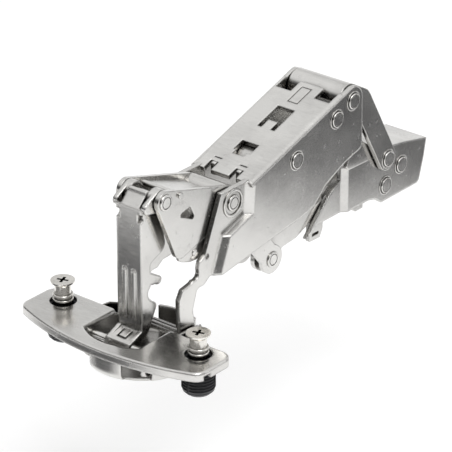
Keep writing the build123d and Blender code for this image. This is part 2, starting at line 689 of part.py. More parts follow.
def closing_spring():
    """Wound spring on the rear spring rivet, with both legs reaching forward to the guide."""
    wire = 1.2
    turns = 6.5
    leg = 9.0
    pitch = wire * 1.05
    length = turns * pitch
    coil = Helix(pitch, length, RIVET_R + SIDE_GAP + wire / 2)
    first = Line(coil @ 0 - (coil % 0) * leg, coil @ 0)
    last = Line(coil @ 1, coil @ 1 + (coil % 1) * leg)
    path = Wire([first, coil, last])
    spring = sweep(Plane(origin=path @ 0, z_dir=path % 0) * Circle(wire / 2), path)
    lean = PLATE_SLOPE - 90
    return Pos(SPRING_RIVET_REAR.X, length / 2, SPRING_RIVET_REAR.Z) * Rot(90, 0, 0) * Rot(0, 0, lean) * spring


# The mounting arm
def tail_face():
    """Side of the wide rear part of the mounting arm."""
    hump = strap((REAR_LINK_LOWER + Vector(-1.0, 0, -1.4), 3.6), (REAR_LINK_LOWER + Vector(3.0, 0, -0.6), 3.2),
                 (REAR_LINK_LOWER + Vector(-12.0, 0, -8.0), 3.0))
    front = STEP_X + TAIL_HALF - FRONT_HALF
    body = outline(
        at(front, FRONT_BOTTOM_Z), at(98.2, FRONT_BOTTOM_Z), at(101.5, 6.6), at(104.8, TAIL_BOTTOM_Z),
        at(123.6, TAIL_BOTTOM_Z), at(124.8, 5.2), at(127.0, 12.5), TAIL_END, at(117.7, 20.9),
        at(110.2, 22.2), at(101.0, TAIL_TOP_Z), at(front, TAIL_TOP_Z),
    )
    return body + hump


def nose_strip_face():
    """Side of the narrow front part of the mounting arm, with its sloping front edge."""
    return outline(
        at(STEP_X + SHEET, FRONT_BOTTOM_Z), at(74.5, FRONT_BOTTOM_Z), at(69.2, 4.4),
        at(79.6, 14.6), at(83.0, 16.8), at(STEP_X + SHEET, 18.8),
    )


def folded_edge(face, where, half):
    """The sheet folded across between two sides, along the part of their edge inside a region."""
    band = face - offset(face, -SHEET)
    return across(band & where, half)


def mounting_arm():
    """Long folded arm that clips to its plate: open below, stepped in towards the front."""
    wide = channel(tail_face(), TAIL_HALF, SHEET)
    narrow = channel(nose_strip_face(), FRONT_HALF, SHEET)
    step = TAIL_HALF - FRONT_HALF
    joggle = both(extrude(Plane.XY.offset(FRONT_BOTTOM_Z) * make_face(Polyline(
        (STEP_X, SHEET - FRONT_HALF), (STEP_X + SHEET + step, SHEET - FRONT_HALF),
        (STEP_X + SHEET + step, -TAIL_HALF), (STEP_X + step, -TAIL_HALF), (STEP_X, -FRONT_HALF), close=True,
    )), amount=TAIL_TOP_Z - FRONT_BOTTOM_Z))
    top = outline(at(103.5, 30), at(TAIL_END.X + 1, 30), at(TAIL_END.X + 1, 17.0), at(110.0, 20.4), at(103.5, 20.4))
    front = outline(at(80.2, 12.0), at(STEP_X, 12.0), at(STEP_X, 25.0), at(80.2, 25.0))
    lips = folded_edge(nose_strip_face(), front, FRONT_HALF) - across(front, FRONT_HALF - 3.0)
    body = one(wide, narrow, joggle, folded_edge(tail_face(), top, TAIL_HALF), lips)
    for pivot in (REAR_LINK_LOWER, TAIL_RIVET_UPPER, TAIL_RIVET_LOWER):
        body = body - bar(pivot, RIVET_R, ARM_HALF)
    return body


def inner_arm_face():
    """Side of the inner arm: the eye of the front pivot, a long bar, and two hooks below."""
    bar_shape = outline(at(58.0, 5.0), at(66.0, 5.6), at(72.0, 8.0), at(116.0, 8.0), at(118.5, 16.5), at(80.0, 13.6),
                        at(64.0, 12.0))
    eye = strap((ARM_PIVOT, 4.6), (at(60.0, 9.0), 3.4))
    front_hook = outline(at(73.0, 9.0), at(73.0, 1.6), at(78.0, 1.4), at(79.4, 4.0), at(79.4, 9.0))
    rear_hook = outline(at(94.3, 9.0), at(94.3, 4.6), at(96.0, 3.4), at(99.7, 3.4), at(99.7, 9.0))
    tail = strap((TAIL_RIVET_UPPER, 3.6), (TAIL_RIVET_LOWER, 3.6), (at(98.0, 11.0), 2.6))
    return eye + bar_shape + front_hook + rear_hook + tail


def inner_arm():
    """Narrow channel inside the mounting arm, which carries the front pivot and the hooks."""
    sides = channel(inner_arm_face(), LEVER_HALF, SHEET)
    floor_path = [at(64.0, 11.4), at(80.0, 13.0), at(96.0, 14.4)]
    web = bent_strip(floor_path, THIN_SHEET, LEVER_HALF)
    body = one(sides, web)
    slot = strap((at(74.6, 3.4), 0.5), (at(77.0, 3.4), 0.5))
    body = body - both(slab(slot, 0, ARM_HALF))
    body = body - bar(ARM_PIVOT, PIN_R + PIN_GAP, ARM_HALF)
    for pivot in (TAIL_RIVET_UPPER, TAIL_RIVET_LOWER):
        body = body - bar(pivot, RIVET_R, ARM_HALF)
    return body


def release_lever():
    """Small catch at the tail, pressed to unclip the arm from its plate."""
    half = TAIL_HALF - SHEET - SIDE_GAP
    path = [at(119.6, 15.2), at(122.4, 8.0), at(121.0, 5.2)]
    plate = bent_strip(path, SHEET, half)
    pad = bent_strip([at(119.6, 15.2), at(124.6, 14.2)], SHEET, half)
    return one(plate, pad)


def pin_with_heads(pivot, half):
    """A pivot pin with a low ringed head on each side."""
    return rivet(pivot, half, PIN_R, PIN_HEAD_H)


PARTS = {
    "cup_shell": cup_shell,
    "cup_flange": cup_flange,
    "cup_rear_pin": lambda: cup_pin(CUP_REAR_PIVOT),
    "cup_front_pin": lambda: cup_pin(CUP_FRONT_PIVOT, LEVER_HALF + SIDE_GAP),
    "cup_spring": cup_spring,
    "dowel_left": lambda: dowel(1),
    "dowel_right": lambda: dowel(-1),
    "dowel_screw_left": lambda: dowel_screw(1),
    "dowel_screw_right": lambda: dowel_screw(-1),
    "front_lever": front_lever,
    "cross_lever": cross_lever,
    "nose_pin": lambda: pin_with_heads(NOSE_PIVOT, NOSE_HALF),
    "cross_pin": lambda: pin_with_heads(CROSS_PIVOT, NECK_HALF + PIN_GAP),
    "arm_pivot_pin": lambda: pin_with_heads(ARM_PIVOT, NOSE_HALF),
    "outer_arm": outer_arm,
    "spring_rivet_front": lambda: rivet(SPRING_RIVET_FRONT, ARM_HALF),
    "spring_rivet_rear": lambda: rivet(SPRING_RIVET_REAR, ARM_HALF),
    "spring_guide": spring_guide,
    "closing_spring": closing_spring,
    "rear_link": rear_link,
    "upper_link_rivet": lambda: rivet(REAR_LINK_UPPER, ARM_HALF),
    "lower_link_rivet": lambda: rivet(REAR_LINK_LOWER, LINK_HALF),
    "mounting_arm": mounting_arm,
    "inner_arm": inner_arm,
    "release_lever": release_lever,
    "tail_rivet_upper": lambda: rivet(TAIL_RIVET_UPPER, TAIL_HALF),
    "tail_rivet_lower": lambda: rivet(TAIL_RIVET_LOWER, TAIL_HALF),
}


def main():
    """Build every piece and write it to its own file."""
    os.makedirs("parts", exist_ok=True)
    for name, make in PARTS.items():
        shape = make()
        solids = [s for item in (shape if isinstance(shape, list) else [shape]) for s in item.solids()]
        export_step(Compound(children=solids), f"parts/{name}.step")


if __name__ == "__main__":
    main()
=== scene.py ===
"""Looks of a concealed cup hinge: nickel-plated folded steel, turned pins and black plastic dowels.

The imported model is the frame, and every large shape comes from it. This script adds the small pressed pieces,
gives each surface its finish, and lights and frames the hinge.
"""

import json
import logging
from dataclasses import dataclass, field
from enum import Enum
from math import cos, pi, radians, sin
from typing import Callable, Iterable, Optional, Sequence, Union

import bpy
from mathutils import Matrix, Vector


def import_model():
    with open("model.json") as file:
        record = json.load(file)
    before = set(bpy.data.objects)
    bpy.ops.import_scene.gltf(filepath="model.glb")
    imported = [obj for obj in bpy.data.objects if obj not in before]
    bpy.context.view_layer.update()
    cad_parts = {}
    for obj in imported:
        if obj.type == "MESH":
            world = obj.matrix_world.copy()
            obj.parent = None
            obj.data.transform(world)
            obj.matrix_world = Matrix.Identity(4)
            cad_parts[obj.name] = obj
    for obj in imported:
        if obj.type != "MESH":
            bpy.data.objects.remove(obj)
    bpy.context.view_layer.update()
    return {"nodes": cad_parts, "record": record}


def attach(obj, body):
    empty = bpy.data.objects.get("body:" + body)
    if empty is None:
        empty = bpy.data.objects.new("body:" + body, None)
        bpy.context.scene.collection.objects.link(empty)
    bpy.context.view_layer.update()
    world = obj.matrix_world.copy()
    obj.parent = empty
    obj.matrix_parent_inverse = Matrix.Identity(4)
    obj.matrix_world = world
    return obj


log = logging.getLogger("hinge")

MM = 0.001
IMAGE_SIDE = 452
SMOOTH_ANGLE = radians(40)
FLAT_FACE = 0.9
NOISE_MEAN = 0.5
PAPER_ROUGHNESS = 0.9

Colour = tuple[float, float, float]


class Value:
    """A shader socket that can be used in plain arithmetic."""

    def __init__(self, tree: bpy.types.NodeTree, socket: bpy.types.NodeSocket) -> None:
        """Wraps one output socket.

        Args:
            tree: the node tree that the socket belongs to.
            socket: the output socket.
        """
        self.tree = tree
        self.socket = socket

    def math(self, operation: str, *others: Union["Value", float], clamp: bool = False) -> "Value":
        """Adds one Math node that starts with this value.

        Args:
            operation: the Math node's operation.
            others: its further inputs.
            clamp: whether the result is kept between 0 and 1.

        Returns:
            The node's result.
        """
        node = self.tree.nodes.new("ShaderNodeMath")
        node.operation = operation
        node.use_clamp = clamp
        for slot, item in zip(node.inputs, (self, *others)):
            feed(self.tree, slot, item)
        return Value(self.tree, node.outputs[0])

    def __add__(self, other: Union["Value", float]) -> "Value":
        """The sum."""
        return self.math("ADD", other)

    def __mul__(self, other: Union["Value", float]) -> "Value":
        """The product."""
        return self.math("MULTIPLY", other)

    def __sub__(self, other: Union["Value", float]) -> "Value":
        """The difference."""
        return self.math("SUBTRACT", other)

    def __rsub__(self, other: float) -> "Value":
        """A number less this value."""
        return self.math("MULTIPLY", -1.0).math("ADD", other)

    __radd__ = __add__
    __rmul__ = __mul__


def feed(tree: bpy.types.NodeTree, slot: bpy.types.NodeSocket, item: object) -> None:
    """Sets a socket from a number, a colour or another socket.

    Args:
        tree: the node tree.
        slot: the input socket to set.
        item: what goes into it.
    """
    if isinstance(item, Value):
        tree.links.new(item.socket, slot)
    elif isinstance(item, bpy.types.NodeSocket):
        tree.links.new(item, slot)
    else:
        slot.default_value = item


class Shader:
    """One procedural material, built node by node."""

    bevel_samples = 6
    sky_samples = 8

    def __init__(self, name: str) -> None:
        """Makes an empty material with a Principled surface.

        Args:
            name: the material's name.
        """
        self.material = bpy.data.materials.new(name)
        self.material.use_nodes = True
        self.tree = self.material.node_tree
        self.tree.nodes.clear()
        self.output = self.tree.nodes.new("ShaderNodeOutputMaterial")
        self.surface = self.tree.nodes.new("ShaderNodeBsdfPrincipled")
        self.tree.links.new(self.surface.outputs[0], self.output.inputs["Surface"])
        self.place = self.node("ShaderNodeTexCoord").outputs["Object"]

    def node(self, kind: str, settings: Optional[dict] = None, **inputs: object) -> bpy.types.Node:
        """Adds any node.

        Args:
            kind: the node's type name.
            settings: attributes set before its inputs.
            inputs: values or links, by socket name with underscores for spaces.

        Returns:
            The node.
        """
        node = self.tree.nodes.new(kind)
        for key, setting in (settings or {}).items():
            setattr(node, key, setting)
        for key, item in inputs.items():
            feed(self.tree, node.inputs[key.replace("_", " ")], item)
        return node

    def noise(self, scale: float, detail: float = 3.0, stretch: Sequence[float] = (1, 1, 1)) -> Value:
        """Smooth random values over the surface.

        Args:
            scale: waves to the metre.
            detail: how many finer layers are added.
            stretch: how much finer it is along each axis.

        Returns:
            Values round 0.5.
        """
        mapped = self.node("ShaderNodeMapping", Vector=self.place, Scale=stretch)
        cloud = self.node("ShaderNodeTexNoise", Vector=mapped.outputs[0], Scale=scale, Detail=detail)
        return Value(self.tree, cloud.outputs["Fac"])

    def ramp(self, item: Value, *stops: tuple[float, Sequence[float]]) -> bpy.types.NodeSocket:
        """Turns a value into a colour.

        Args:
            item: the value.
            stops: places from 0 to 1, each with its colour.

        Returns:
            The colour socket.
        """
        node = self.tree.nodes.new("ShaderNodeValToRGB")
        band = node.color_ramp
        while len(band.elements) < len(stops):
            band.elements.new(0.5)
        for element, (place, colour) in zip(band.elements, stops):
            element.position = place
            element.color = (*colour, 1.0)
        feed(self.tree, node.inputs["Fac"], item)
        return node.outputs["Color"]

    def bump(self, height: Value, depth: float, edge: float = 0.0) -> None:
        """Raises the surface by a value, and breaks its sharp edges.

        Args:
            height: the value, from 0 to 1.
            depth: how far one unit stands out, in metres.
            edge: the radius of the broken edges, in metres.
        """
        node = self.node("ShaderNodeBump", Height=height, Distance=depth, Strength=1.0)
        if edge:
            rounded = self.node("ShaderNodeBevel", {"samples": self.bevel_samples}, Radius=edge)
            feed(self.tree, node.inputs["Normal"], rounded.outputs[0])
        feed(self.tree, self.surface.inputs["Normal"], node.outputs[0])

    def open_sky(self, reach: float, low: float, high: float) -> Value:
        """How open a place is: nothing deep in a fold or inside a channel, one out in the open.

        Args:
            reach: how far away a neighbouring wall still counts, in metres.
            low: the openness that counts as nothing.
            high: the openness that counts as one.

        Returns:
            A value from 0 to 1.
        """
        around = self.node("ShaderNodeAmbientOcclusion", {"samples": self.sky_samples}, Distance=reach)
        return (Value(self.tree, around.outputs["AO"]) - low).math("DIVIDE", high - low, clamp=True)

    def blend(self, factor: Value, first: object, second: object) -> bpy.types.NodeSocket:
        """Goes from one colour to another.

        Args:
            factor: nothing for the first, one for the second.
            first: a colour or its socket.
            second: a colour or its socket.

        Returns:
            The colour socket.
        """
        node = self.tree.nodes.new("ShaderNodeMix")
        node.data_type = "RGBA"
        feed(self.tree, node.inputs["Factor"], factor)
        feed(self.tree, node.inputs[6], first)
        feed(self.tree, node.inputs[7], second)
        return node.outputs[2]

    def cover(self, factor: Value, under: bpy.types.Node, over: bpy.types.Node) -> None:
        """Lays one surface over another and sends the result to the output.

        Args:
            factor: how much of the upper surface shows, from 0 to 1.
            under: the lower surface's shader node.
            over: the upper surface's shader node.
        """
        mix = self.node("ShaderNodeMixShader", None, Fac=factor)
        self.tree.links.new(under.outputs[0], mix.inputs[1])
        self.tree.links.new(over.outputs[0], mix.inputs[2])
        self.tree.links.new(mix.outputs[0], self.output.inputs["Surface"])

    def set(self, **inputs: object) -> None:
        """Sets sockets of the surface.

        Args:
            inputs: values or links, by socket name with underscores for spaces.
        """
        for key, item in inputs.items():
            feed(self.tree, self.surface.inputs[key.replace("_", " ")], item)


@dataclass(frozen=True)
class NickelPlate:
    """Bright nickel over pressed sheet steel: cloudy, faintly scratched, with painted shade darkening its
    folds.

    Attributes:
        name: the material's name.
        bright: the plate where it is clean.
        dull: the plate where it is cloudy.
        painted_shade: the grime deep in a fold.
        roughness: the mean roughness.
        edge: the radius of the broken edges, in metres.
        wave: how uneven the sheet is, in metres.
        grain: how the drawing marks are stretched along each axis.
        cloud_scale: clouds to the metre.
        drawn_scale: drawing marks to the metre.
        speck_scale: worn specks to the metre.
        worn_from: the speck value at which wear starts.
        worn_rise: how steeply it grows.
        dull_bright: the tones at which the plate is dull and at which it is bright.
        haze: how much the clouds, the drawing marks and the wear change the roughness.
        sky: how far a wall shades, and the openness that counts as none and as full.
    """

    name: str = "nickel plate"
    bright: Colour = (0.72, 0.711, 0.69)
    dull: Colour = (0.57, 0.561, 0.545)
    painted_shade: Colour = (0.15, 0.142, 0.13)
    roughness: float = 0.22
    edge: float = 0.0004
    wave: float = 0.00006
    grain: tuple[float, float, float] = (1.0, 0.18, 1.0)
    cloud_scale: float = 60.0
    drawn_scale: float = 1500.0
    speck_scale: float = 420.0
    worn_from: float = 0.60
    worn_rise: float = 6.0
    dull_bright: tuple[float, float] = (0.28, 0.58)
    haze: tuple[float, float, float] = (0.14, 0.10, 0.10)
    sky: tuple[float, float, float] = (0.014, 0.30, 0.78)

    def build(self) -> bpy.types.Material:
        """Makes the material.

        Returns:
            The material.
        """
        shader = Shader(self.name)
        cloud = shader.noise(self.cloud_scale, 4.0)
        drawn = shader.noise(self.drawn_scale, 2.0, self.grain)
        specks = shader.noise(self.speck_scale, 5.0)
        worn = (specks - self.worn_from).math("MULTIPLY", self.worn_rise, clamp=True)
        tone = cloud * 0.75 + drawn * 0.25 - worn * 0.12
        clean = shader.ramp(tone, *zip(self.dull_bright, (self.dull, self.bright)))
        unshaded = shader.open_sky(*self.sky)
        clouded, scored, rubbed = self.haze
        haze = (cloud - NOISE_MEAN) * clouded + (drawn - NOISE_MEAN) * scored + worn * rubbed
        shader.set(
            # painted shade: the base colour falls to painted_shade where ambient occlusion finds walls close by
            Base_Color=shader.blend(unshaded, (*self.painted_shade, 1.0), clean),
            Metallic=1.0,
            Roughness=self.roughness + haze,
        )
        shader.bump(cloud * 0.97 + drawn * 0.03, self.wave, self.edge)
        return shader.material


@dataclass(frozen=True)
class TurnedSteel:
    """Plated pins, rivets and wire: smooth, a little clouded, with painted shade in the low places.

    Attributes:
        name: the material's name.
        colour: the steel where it is clean.
        shade: the steel where it is cloudy.
        painted_shade: the painted shade in the low places.
        roughness: the mean roughness.
        edge: the radius of the broken edges, in metres.
        wave: how uneven the surface is, in metres.
        soft_scale: clouds to the metre.
        fine_scale: fine marks to the metre.
        dull_bright: the tones at which the steel is cloudy and at which it is clean.
        haze: how much the clouds and the fine marks change the roughness.
        sky: how far a wall shades, and the openness that counts as none and as full.
    """

    name: str = "turned steel"
    colour: Colour = (0.76, 0.75, 0.73)
    shade: Colour = (0.54, 0.53, 0.51)
    painted_shade: Colour = (0.13, 0.125, 0.115)
    roughness: float = 0.20
    edge: float = 0.00012
    wave: float = 0.00001
    soft_scale: float = 220.0
    fine_scale: float = 1600.0
    dull_bright: tuple[float, float] = (0.30, 0.56)
    haze: tuple[float, float] = (0.16, 0.06)
    sky: tuple[float, float, float] = (0.006, 0.25, 0.70)

    def build(self) -> bpy.types.Material:
        """Makes the material.

        Returns:
            The material.
        """
        shader = Shader(self.name)
        soft = shader.noise(self.soft_scale, 3.0)
        fine = shader.noise(self.fine_scale, 2.0)
        clean = shader.ramp(soft * 0.7 + fine * 0.3, *zip(self.dull_bright, (self.shade, self.colour)))
        unshaded = shader.open_sky(*self.sky)
        clouded, marked = self.haze
        shader.set(
            # painted shade: the base colour falls to painted_shade where ambient occlusion finds walls close by
            Base_Color=shader.blend(unshaded, (*self.painted_shade, 1.0), clean),
            Metallic=1.0,
            Roughness=self.roughness + (soft - NOISE_MEAN) * clouded + (fine - NOISE_MEAN) * marked,
        )
        shader.bump(soft, self.wave, self.edge)
        return shader.material


@dataclass(frozen=True)
class BlackNylon:
    """Moulded black plastic with a fine dull skin.

    Attributes:
        name: the material's name.
        colour: the plastic itself.
        pale: its paler specks.
        roughness: the mean roughness.
        wave: how uneven the skin is, in metres.
        fine_scale: specks to the metre.
        dark_pale: the speck values at which the skin is dark and at which it is pale.
        haze: how much the specks change the roughness.
    """

    name: str = "black nylon"
    colour: Colour = (0.016, 0.017, 0.019)
    pale: Colour = (0.035, 0.036, 0.04)
    roughness: float = 0.42
    wave: float = 0.00002
    fine_scale: float = 1100.0
    dark_pale: tuple[float, float] = (0.35, 0.70)
    haze: float = 0.25

    def build(self) -> bpy.types.Material:
        """Makes the material.

        Returns:
            The material.
        """
        shader = Shader(self.name)
        fine = shader.noise(self.fine_scale, 4.0)
        shader.set(
            Base_Color=shader.ramp(fine, *zip(self.dark_pale, (self.colour, self.pale))),
            Metallic=0.0,
            Roughness=self.roughness + (fine - NOISE_MEAN) * self.haze,
        )
        shader.bump(fine, self.wave)
        return shader.material


class Bench:
    """The hand tools that new pieces are shaped with."""

    @staticmethod
    def pick(piece: bpy.types.Object, wanted: Callable[[bpy.types.MeshPolygon], bool]) -> None:
        """Selects some of a piece's faces, and leaves it in edit mode.

        Args:
            piece: the piece, which is the active object.
            wanted: tells whether a face is selected.
        """
        bpy.ops.object.mode_set(mode="EDIT")
        bpy.ops.mesh.select_mode(type="FACE")
        bpy.ops.mesh.select_all(action="DESELECT")
        bpy.ops.object.mode_set(mode="OBJECT")
        for face in piece.data.polygons:
            face.select = wanted(face)
        bpy.ops.object.mode_set(mode="EDIT")

    @staticmethod
    def finish(piece: bpy.types.Object, name: str, bevel: float, segments: int = 3) -> bpy.types.Object:
        """Breaks a piece's edges, puts its place into its mesh and smooths it.

        Args:
            piece: the piece, which is the active object.
            name: its name.
            bevel: the width of the broken edges, in metres.
            segments: the steps across a broken edge.

        Returns:
            The piece.
        """
        bpy.ops.object.mode_set(mode="OBJECT")
        bpy.ops.object.transform_apply(location=True, rotation=True, scale=True)
        broken = piece.modifiers.new("broken edges", "BEVEL")
        broken.width = bevel
        broken.segments = segments
        broken.limit_method = "ANGLE"
        bpy.ops.object.modifier_apply(modifier=broken.name)
        bpy.ops.object.shade_smooth_by_angle(angle=SMOOTH_ANGLE)
        piece.name = name
        piece.data.name = name
        return piece

    @staticmethod
    def copy(piece: bpy.types.Object, name: str, move: Sequence[float]) -> bpy.types.Object:
        """Copies a piece with its own mesh, and moves the copy.

        Args:
            piece: the piece to copy.
            name: the copy's name.
            move: how far the copy moves, in metres.

        Returns:
            The copy.
        """
        twin = bpy.data.objects.new(name, piece.data.copy())
        bpy.context.scene.collection.objects.link(twin)
        twin.data.name = name
        twin.data.transform(Matrix.Translation(move))
        return twin

    @staticmethod
    def mirror(piece: bpy.types.Object) -> None:
        """Adds the far side of a piece to it.

        Args:
            piece: the piece, which is the active object.
        """
        far = piece.modifiers.new("far side", "MIRROR")
        far.use_axis = (False, True, False)
        bpy.ops.object.modifier_apply(modifier=far.name)

    @staticmethod
    def put(piece: bpy.types.Object, body: str, slot: str, material: bpy.types.Material) -> None:
        """Gives a piece its finish and the body it rides on.

        Args:
            piece: the piece.
            body: the body's name in the record.
            slot: the record's material slot; not used.
            material: its finish.
        """
        piece.data.materials.clear()
        piece.data.materials.append(material)
        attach(piece, body)
        log.info("%s on %s", piece.name, body)


@dataclass(frozen=True)
class PressedRing:
    """A thin pressed ring that stands round a rivet or an eye, with its axis along Y.

    Attributes:
        outer: its outer radius.
        inner: its inner radius.
        rise: its thickness.
        rounding: the width of its broken edges.
        sides: the faces round it.
    """

    outer: float = 3.20 * MM
    inner: float = 2.70 * MM
    rise: float = 0.24 * MM
    rounding: float = 0.07 * MM
    sides: int = 64

    def model(self, name: str) -> bpy.types.Object:
        """Shapes the ring round the origin.

        Args:
            name: the ring's name.

        Returns:
            The ring.
        """
        bpy.ops.object.select_all(action="DESELECT")
        bpy.ops.mesh.primitive_cylinder_add(
            vertices=self.sides, radius=self.outer, depth=self.rise, rotation=(pi / 2, 0.0, 0.0),
        )
        ring = bpy.context.object
        bpy.ops.object.transform_apply(location=True, rotation=True, scale=True)
        Bench.pick(ring, lambda face: abs(face.normal.y) > FLAT_FACE)
        bpy.ops.mesh.inset(thickness=self.outer - self.inner, use_individual=True)
        bpy.ops.mesh.bridge_edge_loops()
        return Bench.finish(ring, name, self.rounding)


@dataclass(frozen=True)
class Rings:
    """All the pressed rings.

    Attributes:
        rivet: the ring round a rivet.
        eye: the ring round the cross pin's eye.
        sink: how deep a ring sits in the sheet.
        rivets: name, body, x and z in millimetres, and half width of the sheet that carries the ring.
        eyes: the same for the eyes.
    """

    rivet: PressedRing = PressedRing()
    eye: PressedRing = PressedRing(outer=4.45 * MM, inner=3.55 * MM, rise=0.40 * MM)
    sink: float = 0.03 * MM
    rivets: tuple[tuple[str, str, float, float, float], ...] = (
        ("front_spring_rivet_ring", "outer_arm", 57.1, 36.9, 11.7),
        ("rear_spring_rivet_ring", "outer_arm", 76.4, 43.6, 11.7),
        ("upper_link_rivet_ring", "outer_arm", 84.4, 46.9, 11.7),
        ("lower_link_rivet_ring", "rear_link", 105.2, 19.9, 9.9),
        ("upper_tail_rivet_ring", "mounting_arm", 114.8, 14.0, 7.9),
        ("lower_tail_rivet_ring", "mounting_arm", 106.9, 9.6, 7.9),
    )
    eyes: tuple[tuple[str, str, float, float, float], ...] = (
        ("cross_pin_eye_ring", "outer_arm", 29.8, 32.4, 9.7),
    )

    def build(self, material: bpy.types.Material) -> None:
        """Shapes one ring of each pattern and copies it to every place, on both sides.

        Args:
            material: the rings' finish.
        """
        for pattern, places in ((self.rivet, self.rivets), (self.eye, self.eyes)):
            first = pattern.model("ring_pattern")
            for name, body, x, z, half in places:
                level = half * MM + pattern.rise / 2 - self.sink
                for side, word in ((-1, "near"), (1, "far")):
                    ring = Bench.copy(first, f"{word}_{name}", (x * MM, side * level, z * MM))
                    Bench.put(ring, body, "nickel_steel", material)
            bpy.data.objects.remove(first, do_unlink=True)


@dataclass(frozen=True)
class PressedSheet:
    """A small flat pressing on the near side, with its twin on the far side.

    Attributes:
        name: the piece's name.
        outline: its corners as x and z, in millimetres.
        outer: how far its outer face stands from the middle plane, in millimetres.
        depth: its thickness, in millimetres.
        rounding: the width of its rounded edges, in metres.
        steps: the steps across a rounded edge.
        blank: the radius of the round blank that its corners are drawn out from, in metres.
    """

    name: str
    outline: tuple[tuple[float, float], ...]
    outer: float
    depth: float
    rounding: float
    steps: int = 6
    blank: float = 5 * MM

    def model(self) -> bpy.types.Object:
        """Shapes the pressing from its outline, thickens it and mirrors it.

        Returns:
            The two pressings, as one piece.
        """
        bpy.ops.object.select_all(action="DESELECT")
        bpy.ops.mesh.primitive_circle_add(vertices=len(self.outline), radius=self.blank, fill_type="NGON")
        sheet = bpy.context.object
        bpy.ops.object.mode_set(mode="EDIT")
        bpy.ops.mesh.select_mode(type="VERT")
        for number, (x, z) in enumerate(self.outline):
            bpy.ops.mesh.select_all(action="DESELECT")
            bpy.ops.object.mode_set(mode="OBJECT")
            point = sheet.data.vertices[number]
            point.select = True
            move = Vector((x * MM, -self.outer * MM, z * MM)) - point.co
            bpy.ops.object.mode_set(mode="EDIT")
            bpy.ops.transform.translate(value=move)
        bpy.ops.mesh.select_all(action="SELECT")
        bpy.ops.mesh.extrude_region_move(TRANSFORM_OT_translate={"value": (0.0, self.depth * MM, 0.0)})
        bpy.ops.mesh.select_all(action="SELECT")
        bpy.ops.mesh.normals_make_consistent(inside=False)
        Bench.finish(sheet, self.name, self.rounding, self.steps)
        Bench.mirror(sheet)
        return sheet


@dataclass(frozen=True)
class ArmShoulder:
    """The shoulder of the mounting arm that stands up between the outer arm and the rear link.

    Attributes:
        sheet: the pressing that it is made from.
    """

    sheet: PressedSheet = PressedSheet(
        "arm_shoulders",
        (
            (87.8, 21.4), (86.5, 22.8), (87.6, 25.2), (91.2, 27.2),
            (94.8, 28.8), (98.0, 26.6), (100.4, 23.4), (101.2, 21.0),
        ),
        outer=7.94, depth=1.4, rounding=0.3 * MM,
    )

    def build(self, plate: bpy.types.Material) -> None:
        """Shapes the shoulders and puts them on the mounting arm.

        Args:
            plate: the sheet's finish.
        """
        Bench.put(self.sheet.model(), "mounting_arm", "nickel_steel", plate)


@dataclass(frozen=True)
class ShieldReturn:
    """The rounded return along the lower back edge of the nose's shields, with its small button.

    Attributes:
        sheet: the pressing that the return is made from.
        button_place: the button's x and z, in millimetres.
        button_radius: its radius.
        button_rise: its thickness.
        button_dome: the share of its thickness that is rounded.
        button_steps: the steps across that rounding.
        button_sides: the faces round it.
    """

    sheet: PressedSheet = PressedSheet(
        "shield_returns",
        (
            (11.0, 25.4), (7.2, 23.6), (7.4, 21.3), (9.4, 20.0), (12.8, 18.8),
            (16.9, 18.4), (20.4, 21.5), (23.2, 25.6), (24.4, 30.0), (21.5, 31.0),
        ),
        outer=7.78, depth=1.15, rounding=0.95 * MM,
    )
    button_place: tuple[float, float] = (14.6, 21.4)
    button_radius: float = 1.15 * MM
    button_rise: float = 0.7 * MM
    button_dome: float = 0.42
    button_steps: int = 5
    button_sides: int = 40

    def button(self) -> bpy.types.Object:
        """Shapes the small domed button on the near side and mirrors it.

        Returns:
            The buttons.
        """
        bpy.ops.object.select_all(action="DESELECT")
        x, z = self.button_place
        bpy.ops.mesh.primitive_cylinder_add(
            vertices=self.button_sides, radius=self.button_radius, depth=self.button_rise,
            location=(x * MM, -self.sheet.outer * MM, z * MM), rotation=(pi / 2, 0.0, 0.0),
        )
        button = bpy.context.object
        Bench.finish(button, "return_buttons", self.button_rise * self.button_dome, self.button_steps)
        Bench.mirror(button)
        return button

    def build(self, plate: bpy.types.Material, pin: bpy.types.Material) -> None:
        """Shapes both pieces and puts them on the cross lever.

        Args:
            plate: the sheet's finish.
            pin: the button's finish.
        """
        Bench.put(self.sheet.model(), "cross_lever", "nickel_steel", plate)
        Bench.put(self.button(), "cross_lever", "pin_steel", pin)


@dataclass(frozen=True)
class Lamp:
    """One soft square lamp that looks at the hinge.

    Attributes:
        name: its name.
        place: where it stands, in metres.
        size: its side, in metres.
        power: its power, in watts.
    """

    name: str
    place: tuple[float, float, float]
    size: float
    power: float

    def build(self, target: Sequence[float]) -> None:
        """Adds the lamp.

        Args:
            target: the point that it looks at.
        """
        light = bpy.data.lights.new(self.name, "AREA")
        light.shape = "SQUARE"
        light.size = self.size
        light.energy = self.power
        lamp = bpy.data.objects.new(self.name, light)
        bpy.context.scene.collection.objects.link(lamp)
        lamp.location = self.place
        aim = Vector(self.place) - Vector(target)
        lamp.rotation_euler = aim.to_track_quat("Z", "Y").to_euler()


